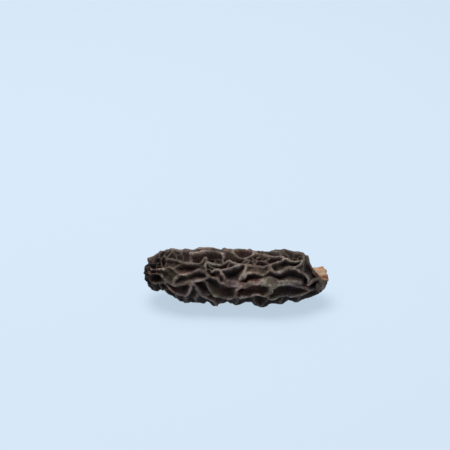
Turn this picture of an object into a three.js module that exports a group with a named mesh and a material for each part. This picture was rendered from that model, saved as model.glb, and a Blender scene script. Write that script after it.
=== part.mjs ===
// A dried morel mushroom lying on its belly: one hollow piece of flesh, a long cap that narrows to a tip
// and a short stem stub that is open at its end. Millimetres, +Z up, tip towards -X, stem towards +X.
// A spot on the skin is given by how far it is along the mushroom from the tip, in mm, and by how far it
// is round it, in degrees: 0 faces -Y, 90 faces up, 180 faces +Y and 270 faces down.
import * as THREE from 'three';

const LENGTH = 66;
const WIDTH_FACTOR = 1.13;
const HEIGHT_FACTOR = 0.95;
const STEM_RADIUS = 4;
const STEM_STEP = 1.2;
const MOUTH_RADIUS = 3.2;
const PIT_DEPTH = 3.1;
const PIT_SHARE = 0.36;
const WALL = 1.3;
const RIDGE_FLANK = 1.6;
const CREST_WAVE = 0.2;
const FLOOR_CUT = 0.55;

// The cap ends sooner at the back; on the low front a lobe with a raised lip wraps the stem.
const CAP_BACK_END = 58.2;
const LOBE_REACH = 6.9;
const LOBE_FALL = 1.6;
const LOBE_TURN = 25;
const LIP_REACH = 2.3;
const LIP_TURN = 15;
const LIP_HALF = 37;
const LIP_EASE = 10;
const CAP_FURTHEST = 65.4;
const MARGIN_RIDGE = 0.7;

const ROWS = 58;
const COLUMNS = 72;
const CAVITY_ROWS = 20;
const CAVITY_START = 7;
const CAVITY_EASE = 12;
const SPINE_START = 7.5;
const MOUTH_START = 54;
const MOUTH_EASE = 6;
const RIM_EASE = 3;
const TIP_EASE = 3;

// Distance along, radius over the ridge crests, shift towards +Y, shift up.
const SECTIONS = [
  [0, 0, 0, 1.1], [0.3, 2, 0, 1.2], [0.8, 3.1, 0, 1.35], [2, 4.9, 0, 1.6], [4, 6.1, 0, 1.6],
  [6, 7.05, 0, 1.8], [8, 7.85, 0, 1.85], [10, 8.65, 0, 1.4], [12, 9.5, 0, 0.45], [14.5, 9.9, 0, 0.1],
  [20, 10.05, 0, 0.1], [25, 10.4, 0, -0.2], [33, 10.35, -0.1, -0.25], [38, 10.15, -0.4, -0.3],
  [42, 10.15, -1.2, -0.5], [46, 9.95, -1.1, -0.15], [50, 9.75, -0.6, 0.2], [54, 9.4, -0.3, 0.25],
  [56, 9.15, -0.25, 0.1], [58, 8.4, -0.2, -0.25], [60, 7.1, -0.15, -0.75], [62, 5.8, -0.15, -0.75],
  [64, 4.7, -0.15, -0.6], [65, 4.2, -0.15, -0.5], [66, 3.65, -0.15, -0.5],
];

// The stem was torn off unevenly: how far its rim stands back, from [round, stand-back] pairs.
const RIM = [
  [-40, 1], [0, 0.3], [30, 0], [60, 0.4], [85, 1.1], [115, 1.8], [150, 1.4], [185, 0.8], [225, 1.2],
  [265, 1.6], [300, 1.5], [320, 1],
];

// Ridges of the cap, each a path of [along, round] spots that a smooth curve joins.
const BROAD_RIDGES = [
  [[29.5, 24], [31, 22], [32.5, 22], [35, 20], [36.5, 20], [38, 24], [40, 25.5], [41.5, 27.5], [43, 28],
    [45, 25], [47, 23], [49, 22], [51.5, 20.5], [53.5, 19], [55.3, 18]],
  [[62, 2], [62.6, -12], [62.4, -28], [61.8, -48], [61, -68]],
];
const MAIN_RIDGES = [
  [[1.3, 71], [2, 56], [2.8, 45], [4.1, 42.5], [5.4, 43], [6.8, 43], [7.9, 42]],
  [[7.2, 21], [7.9, 15], [9.1, 9.5], [10.4, 8.5], [12, 12.5], [14.1, 17.5], [16.9, 22.5], [18.8, 26],
    [20.5, 28], [23, 33], [23.9, 37]],
  [[11, 10], [11.7, 24], [12.7, 34], [14, 41], [15.5, 40], [17, 41], [18.8, 45], [20, 47], [21.5, 46.5],
    [22.7, 46]],
  [[8.7, 71], [10.4, 73], [12.2, 73], [14.4, 70], [16, 66], [17.5, 63], [20, 61], [21, 63],
    [21.7, 70], [22.9, 77]],
  [[17.6, 88], [20, 87], [22, 90], [25, 93], [27.6, 92], [28.8, 85], [29, 78], [28.5, 71], [29, 65]],
  [[22.9, 77], [22.8, 67], [22.6, 58], [22.7, 50], [23.1, 43], [23.9, 37], [25, 32.5], [26.4, 30],
    [27.1, 25], [27.8, 22], [29.5, 23]],
  [[22.8, 66], [24, 63.5], [26, 61.5], [28, 61.5], [29.5, 64], [31, 66.5], [32, 63], [33.5, 61],
    [35.4, 62.5]],
  [[27.9, 49], [29.7, 50], [31, 51], [32.3, 54], [33.8, 57.5], [35.4, 62.5]],
  [[24.9, 46.5], [26, 49.5], [27, 50], [27.8, 47.5], [28.1, 41], [28.7, 36], [29.4, 29.5], [30.3, 25]],
  [[32, 98], [32.6, 90], [33.5, 83], [35, 79], [36.4, 79], [37.8, 84], [38.9, 89], [39.6, 98],
    [39.4, 108]],
  [[35.4, 62.5], [38, 63], [39.8, 62.5], [41.5, 62.5], [43, 62.5], [45, 66], [46.6, 68], [47.8, 70.5],
    [49.4, 74], [50.7, 77], [51.9, 72], [53.7, 70], [55.3, 72], [56.6, 76]],
  [[34.3, 28], [35.7, 36], [36.4, 41.5], [37.4, 46.5], [38.6, 49], [39.9, 50], [41.5, 47.5], [43, 46.5],
    [44.4, 50], [45.3, 54], [44.9, 60], [45, 66]],
  [[57.2, 96], [57.2, 84], [56.5, 72], [55.6, 62], [54.4, 56], [52.8, 56], [51.6, 55], [50, 49.5],
    [48.8, 47], [47.3, 46.5], [46, 48.5], [45.3, 54]],
  [[51.6, 53], [54, 51], [55.5, 47], [56.8, 44], [58, 40], [58.9, 34], [58.7, 26]],
  [[42.5, 104], [43.8, 96], [45.2, 90], [47, 87], [48.4, 88.5], [49.2, 84], [49.9, 78], [50.7, 77]],
  [[44.4, 22], [44.8, 12], [44.6, 4], [43.8, -2], [42.5, -5], [41, -3], [39.2, -5]],
  [[51.5, 17], [53.8, 13], [55.5, 9], [57.5, 4], [59.4, 0], [60.8, -7], [62, -16]],
  [[58.3, 17], [59.2, 20], [60, 23], [61.2, 30], [62.2, 31], [63.2, 24], [64, 12], [64.4, -4],
    [64.2, -24], [63.4, -48]],
  [[17.3, 22], [18.9, 15], [19.5, 6], [20.2, 1], [21.2, -7], [22.3, -12], [24, -17], [25, -27],
    [25.6, -40], [26, -60]],
  [[22, 28], [23, 19], [23.6, 12], [24.5, 6], [25.4, -1], [26.8, -6], [28.5, -10], [31, -12], [33, -11],
    [35, -10], [37.5, -10], [39.2, -5]],
  [[16.9, 22], [17.1, 12], [16.9, 4], [16.2, -5], [15, -10], [13.5, -10], [11.8, -8], [10.2, -10],
    [8.6, -6], [8, 4], [8.4, 14]],
  [[43.8, -2], [44.4, -12], [45.5, -17], [47.5, -14], [50, -13], [52.5, -16], [55, -14], [57, -9],
    [59.4, 0]],
];
const FINE_RIDGES = [
  [[0.8, 100], [2, 80], [3.4, 70], [5.1, 69], [6.4, 72]],
  [[5.1, 69], [4.9, 56], [4.9, 45], [4.7, 29]],
  [[7.9, 42], [6.9, 55], [6.4, 71], [6.7, 84], [7.7, 84], [8.7, 71], [8.8, 60], [7.9, 42]],
  [[1.2, 42], [1.8, 36], [2.8, 24]],
  [[2.8, 24], [4.7, 29], [7.2, 21], [7.7, 11], [6.9, 0], [4.7, -8], [2.5, -6], [2.3, 12], [2.8, 24]],
  [[0.9, 0], [1.7, -10], [2.6, -7]],
  [[2.6, -7], [3.4, -30], [4.4, -58]],
  [[6.9, 0], [8.6, -6]],
  [[5.6, -5], [6.6, -22], [7, -40], [7.6, -58]],
  [[7.9, 42], [9.6, 50], [11.7, 54], [12.9, 60], [14, 65], [15.4, 67]],
  [[11.7, 54], [12.6, 47], [14, 41]],
  [[8.7, 71], [9.7, 91], [10.8, 101], [12.1, 88], [12.2, 73]],
  [[12.1, 86], [13.6, 93], [14.8, 84], [14.9, 74], [14.6, 68]],
  [[13.6, 93], [14.4, 106]],
  [[17.6, 106], [17.6, 88], [17.2, 78], [17.5, 63]],
  [[22.9, 77], [25, 76.5], [27, 74], [28.6, 73]],
  [[26, 75], [25.8, 68], [26.2, 62]],
  [[22.7, 52], [24, 51], [24.9, 46.5]],
  [[23.4, 64], [24.2, 57], [25.4, 53], [26.6, 50]],
  [[28.8, 85], [29.4, 94], [29.2, 106]],
  [[35.4, 62.5], [35.9, 71], [37.2, 76], [38.6, 75.5], [39.4, 69.5], [39.9, 63]],
  [[37.2, 76], [36.4, 79]],
  [[36.8, 63], [37.4, 70], [37.6, 75]],
  [[39.6, 68], [40.5, 75], [41.8, 78.5], [43, 77], [44.1, 72], [45, 66]],
  [[38.3, 86], [39.6, 80], [41, 78]],
  [[43, 77], [44, 83], [45.2, 90]],
  [[50.7, 77], [51.9, 79], [52.9, 83], [53.6, 88], [53.9, 96], [53.5, 106]],
  [[48.4, 88.5], [48.8, 97], [48, 106]],
  [[56.9, 74], [57, 62], [56.6, 52], [56.8, 44]],
  [[30.3, 51], [30.6, 58], [31, 66]],
  [[34.5, 32], [34.9, 40], [34.8, 50], [35.2, 62]],
  [[31.8, 21], [32.2, 14], [32.3, 6], [32.6, -2], [33, -11]],
  [[3.4, 70], [4, 84], [5.4, 90], [6.7, 84]],
  [[5.4, 90], [6, 104]],
  [[7.2, 84], [8.2, 98], [9, 110]],
  [[10.8, 101], [10.4, 112]],
  [[19, 108], [19.6, 97], [20, 87]],
  [[23.4, 115], [23.8, 103], [23.4, 91.5]],
  [[41.2, 104], [41.6, 94], [40.4, 84]],
  [[52.3, 82], [51, 95], [49.2, 106]],
  [[55, 73], [54.6, 86], [55.8, 95], [57, 98]],
  [[7, -40], [8.8, -24], [10.2, -10]],
  [[11.8, -8], [12, -24], [12.8, -38], [13, -58]],
  [[15, -10], [15.4, -22], [15.2, -40], [15.8, -58]],
  [[20.2, 1], [19.6, -10], [18.7, -24], [18.8, -40], [19.6, -58]],
  [[21.8, -8], [23.2, -5], [24.9, 0]],
  [[33, -11], [33.6, -22], [33.4, -36], [33, -58]],
  [[39.2, -5], [39.4, -20], [40.4, -34], [42, -42], [42, -60]],
  [[44.4, -12], [43.6, -28], [42, -42]],
  [[50, -13], [49, -26], [48.6, -40], [49, -60]],
  [[55, -14], [55.4, -28], [55, -42], [55.2, -60]],
];

// The ridges that the front's loose ends meet, over the top and under the belly.
const TOP_RIDGE = [
  [3, 95], [6, 104], [10, 116], [14.4, 106], [17.6, 106], [21, 117], [25, 120], [29.2, 106], [32, 104],
  [36, 119], [39.4, 108], [42.5, 104], [45.2, 117], [48, 106], [50.8, 117], [53.5, 106], [57, 104],
  [58.6, 100],
];
const LOW_RIDGE = [
  [2, 302], [5, 302], [6.8, 288], [8.6, 302], [10.8, 286], [13, 302], [15.8, 302], [17.6, 286],
  [19.6, 301], [22.8, 282], [26, 300], [29.8, 278], [33, 302], [37.4, 278], [42, 300], [45.5, 284],
  [49, 300], [52, 285], [55.2, 300], [58, 288], [61, 298],
];

// Rungs from those two to the back's honeycomb: [along here, along there].
const TOP_RUNGS = [[10, 12], [23, 22], [36, 38], [45.2, 46.5], [50.8, 51]];
const LOW_RUNGS = [
  [6.8, 6.5], [10.8, 11], [17.6, 17.5], [22.8, 24], [29.8, 29], [37.4, 38], [45.5, 45], [52, 52],
  [58, 57.5],
];

// The back's honeycomb: how far round each of its zigzag ridges lies, and how far along the bends are.
const BACK_TURNS = [136, 161, 186, 211, 236, 261];
const BACK_BENDS = [1.4, 4.4, 8.5, 13, 17.5, 22, 26.5, 31, 35.5, 40, 44.5, 49, 53.5, 58];
const BACK_SWING = 7;
const BEND_STRAY = 1.2;
const TURN_STRAY = 3;

const BROAD = { height: 0.94, halfWidth: 1.05 };
const MAIN = { height: 1, halfWidth: 0.62 };
const FINE = { height: 0.84, halfWidth: 0.4 };

const degrees = (angle) => THREE.MathUtils.degToRad(angle);
const smooth = (value) => THREE.MathUtils.smoothstep(value, 0, 1);

// Smooth value of one column of a table whose first column rises.
function readTable(table, at, column) {
  let i = 0;
  while (i < table.length - 2 && at > table[i + 1][0]) i += 1;
  const before = table[Math.max(i - 1, 0)];
  const from = table[i];
  const to = table[i + 1];
  const after = table[Math.min(i + 2, table.length - 1)];
  const span = to[0] - from[0];
  const share = THREE.MathUtils.clamp((at - from[0]) / span, 0, 1);
  const slope = (to[column] - from[column]) / span;
  const slopeIn = i === 0 ? slope : (to[column] - before[column]) / (to[0] - before[0]);
  const slopeOut = i === table.length - 2 ? slope : (after[column] - from[column]) / (after[0] - from[0]);
  const squared = share * share;
  const cubed = squared * share;
  return from[column] * (2 * cubed - 3 * squared + 1) + to[column] * (3 * squared - 2 * cubed)
    + span * (slopeIn * (cubed - 2 * squared + share) + slopeOut * (cubed - squared));
}

// How far along the cap ends.
function capEnd(round) {
  const nearLobe = 0.5 + 0.5 * Math.cos(degrees(round + LOBE_TURN));
  const offLip = Math.abs(THREE.MathUtils.euclideanModulo(round + LIP_TURN + 180, 360) - 180);
  const lip = LIP_REACH * smooth((LIP_HALF - offLip) / LIP_EASE);
  return Math.min(CAP_BACK_END + LOBE_REACH * nearLobe ** LOBE_FALL + lip, CAP_FURTHEST);
}

// 0 on the cap, 1 on the stem.
function stemShare(along, round) {
  return smooth((along - capEnd(round)) / STEM_STEP);
}

// The middle of the section that a spot is measured from.
function middle(along) {
  return new THREE.Vector3(along, readTable(SECTIONS, along, 2), readTable(SECTIONS, along, 3));
}

// From the middle of a section out to an oval, which becomes round as roundness goes from 0 to 1.
function sectionOffset(radius, round, roundness) {
  const wide = THREE.MathUtils.lerp(WIDTH_FACTOR, 1, roundness);
  const high = THREE.MathUtils.lerp(HEIGHT_FACTOR, 1, roundness);
  const angle = degrees(round);
  return new THREE.Vector3(0, -radius * wide * Math.cos(angle), radius * high * Math.sin(angle));
}

// A spot on the smooth skin that the ridge crests touch.
function crestPoint(along, round) {
  const capRadius = Math.max(readTable(SECTIONS, along, 1), 0);
  const stem = stemShare(along, round);
  const radius = capRadius * (1 - stem) + Math.min(capRadius, STEM_RADIUS) * stem;
  return middle(along).add(sectionOffset(radius, round, stem));
}

// Spots on a smooth curve through a ridge's path, close enough to measure distances from.
function ridgeSpots(path) {
  const corners = path.map(([along, round]) => new THREE.Vector3(along, round, 0));
  const curve = new THREE.CatmullRomCurve3(corners, false, 'centripetal');
  const steps = path.length * 6;
  return curve.getPoints(steps).map((spot) => crestPoint(spot.x, spot.y));
}

function roundAt(path, along) {
  return readTable(path, along, 1);
}

// One ridge of the back's honeycomb, bent towards each of its neighbours by turns.
function zigzag(row) {
  return BACK_BENDS.map((along, place) => {
    const side = (row + place) % 2 === 0 ? 1 : -1;
    const stray = Math.sin(7.1 * row + 3.3 * place);
    const turn = BACK_TURNS[row] + BACK_SWING * side + TURN_STRAY * Math.sin(9.7 * stray);
    return [along + BEND_STRAY * stray, turn];
  });
}

function rungPaths(here, there, rungs) {
  return rungs.map(([from, to]) => [[from, roundAt(here, from)], [to, roundAt(there, to)]]);
}

// The low ridge that edges the cap all round.
function marginPath() {
  const path = [];
  for (let round = 0; round <= 360; round += 12) path.push([capEnd(round) - MARGIN_RIDGE, round]);
  return path;
}

function allRidges() {
  const back = BACK_TURNS.map((turn, row) => zigzag(row));
  const rungs = [
    ...rungPaths(TOP_RIDGE, back[0], TOP_RUNGS),
    ...rungPaths(LOW_RIDGE, back[back.length - 1], LOW_RUNGS),
  ];
  for (let row = 0; row < back.length - 1; row += 1) {
    const bends = BACK_BENDS.filter((along, place) => (row + place) % 2 === 0);
    rungs.push(...rungPaths(back[row], back[row + 1], bends.map((along) => [along, along])));
  }
  const asRidges = (paths, kind) => paths.map((path) => ({ ...kind, spots: ridgeSpots(path) }));
  return [
    ...asRidges(BROAD_RIDGES, BROAD),
    ...asRidges([...MAIN_RIDGES, TOP_RIDGE, LOW_RIDGE, ...back], MAIN),
    ...asRidges([...FINE_RIDGES, ...rungs, marginPath()], FINE),
  ];
}

const RIDGES = allRidges();

// How high the flesh stands at a spot: 1 on a crest, 0 on a pit floor.
function ridgeHeight(point) {
  let highest = 0;
  for (const { spots, height, halfWidth } of RIDGES) {
    let nearest = Infinity;
    for (const spot of spots) nearest = Math.min(nearest, spot.distanceToSquared(point));
    const beyondCrest = Math.max(Math.sqrt(nearest) - halfWidth, 0);
    const flank = 1 - Math.min(beyondCrest / RIDGE_FLANK, 1);
    highest = Math.max(highest, height * smooth(flank));
  }
  return highest;
}

// A spot on the real skin, pitted between the ridges and smooth on the stem. No crest line is quite even.
function skinPoint(along, round) {
  const crest = crestPoint(along, round);
  const spine = middle(THREE.MathUtils.clamp(along, SPINE_START, LENGTH));
  const inward = spine.clone().sub(crest);
  const reach = inward.length();
  const wave = CREST_WAVE * Math.sin(along * 0.9 + round * 0.06) * Math.sin(round * 0.09 - along * 0.35);
  const deepest = Math.min(PIT_DEPTH, reach * PIT_SHARE);
  const depth = ((1 - ridgeHeight(crest)) * deepest + wave) * smooth(along / TIP_EASE);
  return crest.addScaledVector(inward.normalize(), depth * (1 - stemShare(along, round)));
}

// A spot on the smooth wall of the hollow, which widens out of its blind end and narrows to the mouth.
function cavityPoint(along, round) {
  const inCap = Math.max(readTable(SECTIONS, along, 1) - PIT_DEPTH - WALL, 0);
  const toMouth = smooth((along - MOUTH_START) / MOUTH_EASE);
  const blindEnd = Math.sqrt(smooth((along - CAVITY_START) / CAVITY_EASE));
  const radius = THREE.MathUtils.lerp(inCap, MOUTH_RADIUS, toMouth) * blindEnd;
  return middle(along).add(sectionOffset(radius, round, toMouth));
}

// Adds one ring of spots round the mushroom and returns the index of its first.
function addRing(positions, along, columns, pointAt) {
  const first = positions.length / 3;
  for (let column = 0; column < columns; column += 1) {
    const round = column * 360 / columns;
    const rimRound = round > 320 ? round - 360 : round;
    const nearRim = smooth((along - LENGTH + RIM_EASE) / RIM_EASE);
    const point = pointAt(along - readTable(RIM, rimRound, 1) * nearRim, round);
    positions.push(point.x, point.y, point.z);
  }
  return first;
}

function spotAt(positions, index) {
  return new THREE.Vector3().fromArray(positions, 3 * index);
}

// Each quad is split along its shorter diagonal, which follows the ridges best.
function joinRings(positions, indices, first, second, columns) {
  for (let column = 0; column < columns; column += 1) {
    const next = (column + 1) % columns;
    const [a, b, c, d] = [first + column, first + next, second + next, second + column];
    const acrossAC = spotAt(positions, a).distanceTo(spotAt(positions, c));
    const acrossBD = spotAt(positions, b).distanceTo(spotAt(positions, d));
    if (acrossAC < acrossBD) indices.push(a, c, b, a, d, c);
    else indices.push(a, d, b, b, d, c);
  }
}

function joinTip(indices, tip, ring, columns) {
  for (let column = 0; column < columns; column += 1) {
    indices.push(tip, ring + column, ring + (column + 1) % columns);
  }
}

function joinBlindEnd(indices, end, ring, columns) {
  for (let column = 0; column < columns; column += 1) {
    indices.push(end, ring + (column + 1) % columns, ring + column);
  }
}

// The rim joins the outer ring to an inner ring of half as many spots.
function joinRim(indices, outer, inner, innerColumns) {
  for (let column = 0; column < innerColumns; column += 1) {
    const next = (column + 1) % innerColumns;
    const a = outer + 2 * column;
    const b = outer + 2 * column + 1;
    const c = outer + 2 * next;
    indices.push(a, inner + column, b);
    indices.push(b, inner + column, inner + next);
    indices.push(b, inner + next, c);
  }
}

function buildMorel() {
  const positions = [];
  const indices = [];
  const tip = crestPoint(0, 0);
  positions.push(tip.x, tip.y, tip.z);
  let last = null;
  for (let row = 1; row <= ROWS; row += 1) {
    const share = row / ROWS;
    const along = LENGTH * (share - 0.045 * Math.sin(Math.PI * share) * (1 - share));
    const ring = addRing(positions, along, COLUMNS, skinPoint);
    if (last === null) joinTip(indices, 0, ring, COLUMNS);
    else joinRings(positions, indices, last, ring, COLUMNS);
    last = ring;
  }
  const innerColumns = COLUMNS / 2;
  const outerRim = last;
  last = null;
  for (let row = CAVITY_ROWS; row >= 1; row -= 1) {
    const along = CAVITY_START + (LENGTH - CAVITY_START) * row / CAVITY_ROWS;
    const ring = addRing(positions, along, innerColumns, cavityPoint);
    if (last === null) joinRim(indices, outerRim, ring, innerColumns);
    else joinRings(positions, indices, last, ring, innerColumns);
    last = ring;
  }
  const blindEnd = positions.length / 3;
  const deepest = middle(CAVITY_START);
  positions.push(deepest.x, deepest.y, deepest.z);
  joinBlindEnd(indices, blindEnd, last, innerColumns);

  const geometry = new THREE.BufferGeometry();
  geometry.setAttribute('position', new THREE.Float32BufferAttribute(positions, 3));
  geometry.setIndex(indices);
  standOnFloor(geometry);
  geometry.computeVertexNormals();
  return geometry;
}

// Centres the mushroom and presses its lowest crests flat where they bear on the floor.
function standOnFloor(geometry) {
  geometry.computeBoundingBox();
  const { min, max } = geometry.boundingBox;
  geometry.translate(-(min.x + max.x) / 2, -(min.y + max.y) / 2, -min.z - FLOOR_CUT);
  const position = geometry.attributes.position;
  for (let i = 0; i < position.count; i += 1) position.setZ(i, Math.max(position.getZ(i), 0));
}

const flesh = new THREE.MeshStandardMaterial({ color: 0x4a4038, roughness: 0.85, metalness: 0 });
const morel = new THREE.Mesh(buildMorel(), flesh);
morel.name = 'morel';

const part = new THREE.Group();
part.name = 'dried_morel';
part.add(morel);

export default part;
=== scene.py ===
"""The looks of one dried morel mushroom, lying on its belly on a pale table.

The cap is a long honeycomb of deep pits between winding ridges. A short hollow stem stub, torn off
unevenly, stands out of its end. A spot on the skin is given by how far it is along the mushroom from the
tip, in mm, and by how far it is round it, in degrees: 0 faces -Y, 90 faces up, 180 faces +Y and 270 faces
down.
"""

import logging
import math
from dataclasses import dataclass, field
from enum import Enum

import bpy
import numpy as np
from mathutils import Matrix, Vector


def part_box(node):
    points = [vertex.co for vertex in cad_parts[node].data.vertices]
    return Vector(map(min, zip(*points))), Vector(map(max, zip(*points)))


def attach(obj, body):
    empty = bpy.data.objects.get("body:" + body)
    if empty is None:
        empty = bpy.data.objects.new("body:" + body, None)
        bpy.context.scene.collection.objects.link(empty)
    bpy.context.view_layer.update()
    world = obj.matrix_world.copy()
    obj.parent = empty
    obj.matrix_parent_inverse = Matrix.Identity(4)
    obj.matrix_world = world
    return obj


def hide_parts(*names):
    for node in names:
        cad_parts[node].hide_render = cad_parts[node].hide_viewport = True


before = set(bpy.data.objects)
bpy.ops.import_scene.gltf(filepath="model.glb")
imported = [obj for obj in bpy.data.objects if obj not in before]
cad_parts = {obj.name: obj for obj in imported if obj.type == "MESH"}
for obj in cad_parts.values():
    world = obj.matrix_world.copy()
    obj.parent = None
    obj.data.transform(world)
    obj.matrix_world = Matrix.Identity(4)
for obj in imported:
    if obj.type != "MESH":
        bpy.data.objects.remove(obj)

MM = 0.001
LENGTH = 66.0
Socket = bpy.types.NodeSocket
log = logging.getLogger("morel")

# Distance along, radius over the ridge crests, shift towards +Y, shift up.
SECTIONS = np.array([
    (0, 0, 0, 1.1), (0.3, 2, 0, 1.2), (0.8, 3.1, 0, 1.35), (2, 4.9, 0, 1.6), (4, 6.1, 0, 1.6),
    (6, 7.05, 0, 1.8), (8, 7.85, 0, 1.85), (10, 8.65, 0, 1.4), (12, 9.5, 0, 0.45), (14.5, 9.9, 0, 0.1),
    (20, 10.05, 0, 0.1), (25, 10.4, 0, -0.2), (33, 10.35, -0.1, -0.25), (38, 10.15, -0.4, -0.3),
    (42, 10.15, -1.2, -0.5), (46, 9.95, -1.1, -0.15), (50, 9.75, -0.6, 0.2), (54, 9.4, -0.3, 0.25),
    (56, 9.15, -0.25, 0.1), (58, 8.4, -0.2, -0.25), (60, 7.1, -0.15, -0.75), (62, 5.8, -0.15, -0.75),
    (64, 4.7, -0.15, -0.6), (65, 4.2, -0.15, -0.5), (66, 3.65, -0.15, -0.5),
])

# The stem was torn off unevenly: how far its rim stands back, from (round, stand-back) pairs.
RIM = np.array([
    (-40, 1), (0, 0.3), (30, 0), (60, 0.4), (85, 1.1), (115, 1.8), (150, 1.4), (185, 0.8), (225, 1.2),
    (265, 1.6), (300, 1.5), (320, 1),
])

# Ridges of the cap, each a path of (along, round) spots that a smooth curve joins.
BROAD_RIDGES = (
    ((29.5, 24), (31, 22), (32.5, 22), (35, 20), (36.5, 20), (38, 24), (40, 26), (41.5, 30.5), (43, 32),
     (45, 27.5), (47, 23.5), (49, 22), (51.5, 20.5), (53.5, 19), (55.3, 18)),
    ((41.6, 34), (43.3, 36), (45, 32), (46.8, 27)),
    ((42, 26), (43.8, 25), (46, 20)),
    ((62, 2), (62.6, -12), (62.4, -28), (61.8, -48), (61, -68)),
)
MAIN_RIDGES = (
    ((1.3, 71), (2, 56), (2.8, 45), (4.1, 42.5), (5.4, 43), (6.8, 43), (7.9, 42)),
    ((7.2, 21), (7.9, 15), (9.1, 9.5), (10.4, 8.5), (12, 12.5), (14.1, 17.5), (16.9, 22.5), (18.8, 26),
     (20.5, 28), (23, 33), (23.9, 37)),
    ((11, 10), (11.7, 24), (12.7, 34), (14, 41), (15.5, 40), (17, 41), (18.8, 45), (20, 47), (21.5, 46.5),
     (22.7, 46)),
    ((8.7, 71), (10.4, 73), (12.2, 73), (14.4, 70), (16, 66), (17.5, 63), (20, 61), (21, 63),
     (21.7, 70), (22.9, 77)),
    ((17.6, 88), (19.4, 92), (21.5, 98), (24.5, 102), (27.2, 100), (28.8, 90), (29, 79), (28.5, 71),
     (29, 65)),
    ((22.9, 77), (22.8, 67), (22.6, 58), (22.7, 50), (23.1, 43), (23.9, 37), (25, 32.5), (26.4, 30),
     (27.1, 25), (27.8, 22), (29.5, 23)),
    ((22.8, 66), (24, 63.5), (26, 61.5), (28, 61.5), (29.5, 64), (31, 66.5), (32, 63), (33.5, 61),
     (35.4, 62.5)),
    ((27.9, 49), (29.7, 50), (31, 51), (32.3, 54), (33.8, 57.5), (35.4, 62.5)),
    ((24.9, 46.5), (26, 49.5), (27, 50), (27.8, 47.5), (28.1, 41), (28.7, 36), (29.4, 29.5), (30.3, 25)),
    ((32, 98), (32.6, 90), (33.5, 83), (35, 79), (36.4, 79), (37.8, 84), (38.9, 89), (39.6, 98),
     (39.4, 108)),
    ((35.4, 62.5), (38, 63), (39.8, 62.5), (41.5, 62.5), (43, 62.5), (45, 66), (46.6, 68), (47.8, 70.5),
     (49.4, 74), (50.7, 77), (51.9, 72), (53.7, 70), (55.3, 72), (56.6, 76)),
    ((34.3, 28), (35.7, 36), (36.4, 41.5), (37.4, 46.5), (38.6, 49), (39.9, 50), (41.5, 47.5), (43, 46.5),
     (44.4, 50), (45.3, 54), (44.9, 60), (45, 66)),
    ((57.2, 96), (57.2, 84), (56.5, 72), (55.6, 62), (54.4, 56), (52.8, 56), (51.6, 55), (50, 49.5),
     (48.8, 47), (47.3, 46.5), (46, 48.5), (45.3, 54)),
    ((34.6, 30), (35.3, 38), (36, 46), (36.6, 54), (37.1, 62)),
    ((51.6, 53), (54, 51), (55.5, 47), (56.8, 44), (58, 40), (58.9, 34), (58.7, 26)),
    ((42.5, 104), (43.8, 96), (45.2, 90), (47, 87), (48.4, 88.5), (49.2, 84), (49.9, 78), (50.7, 77)),
    ((35, 18), (33.9, 13), (33.2, 7), (33, -2), (33.2, -11)),
    ((44.4, 22), (44.8, 12), (44.6, 4), (43.8, -2), (42.5, -5), (41, -3), (39.2, -5)),
    ((51.5, 17), (53.8, 13), (55.5, 9), (57.5, 4), (59.4, 0), (60.8, -7), (62, -16)),
    ((58.3, 17), (59.2, 20), (60, 23), (61.2, 30), (62.2, 31), (63.2, 24), (64, 12), (64.4, -4),
     (64.2, -24), (63.4, -48)),
    ((17.3, 22), (18.9, 15), (19.5, 6), (20.2, 1), (21.2, -7), (22.3, -12), (24, -17), (25, -27),
     (25.6, -40), (26, -60)),
    ((22, 28), (23, 19), (23.6, 12), (24.5, 6), (25.4, -1), (26.8, -6), (28.5, -10), (31, -12), (33, -11),
     (35, -10), (37.5, -10), (39.2, -5)),
    ((16.9, 22), (17.1, 12), (16.9, 4), (16.2, -5), (15, -10), (13.5, -10), (11.8, -8), (10.2, -10),
     (8.6, -6), (8, 4), (8.4, 14)),
    ((43.8, -2), (44.4, -12), (45.5, -17), (47.5, -14), (50, -13), (52.5, -16), (55, -14), (57, -9),
     (59.4, 0)),
)
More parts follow.
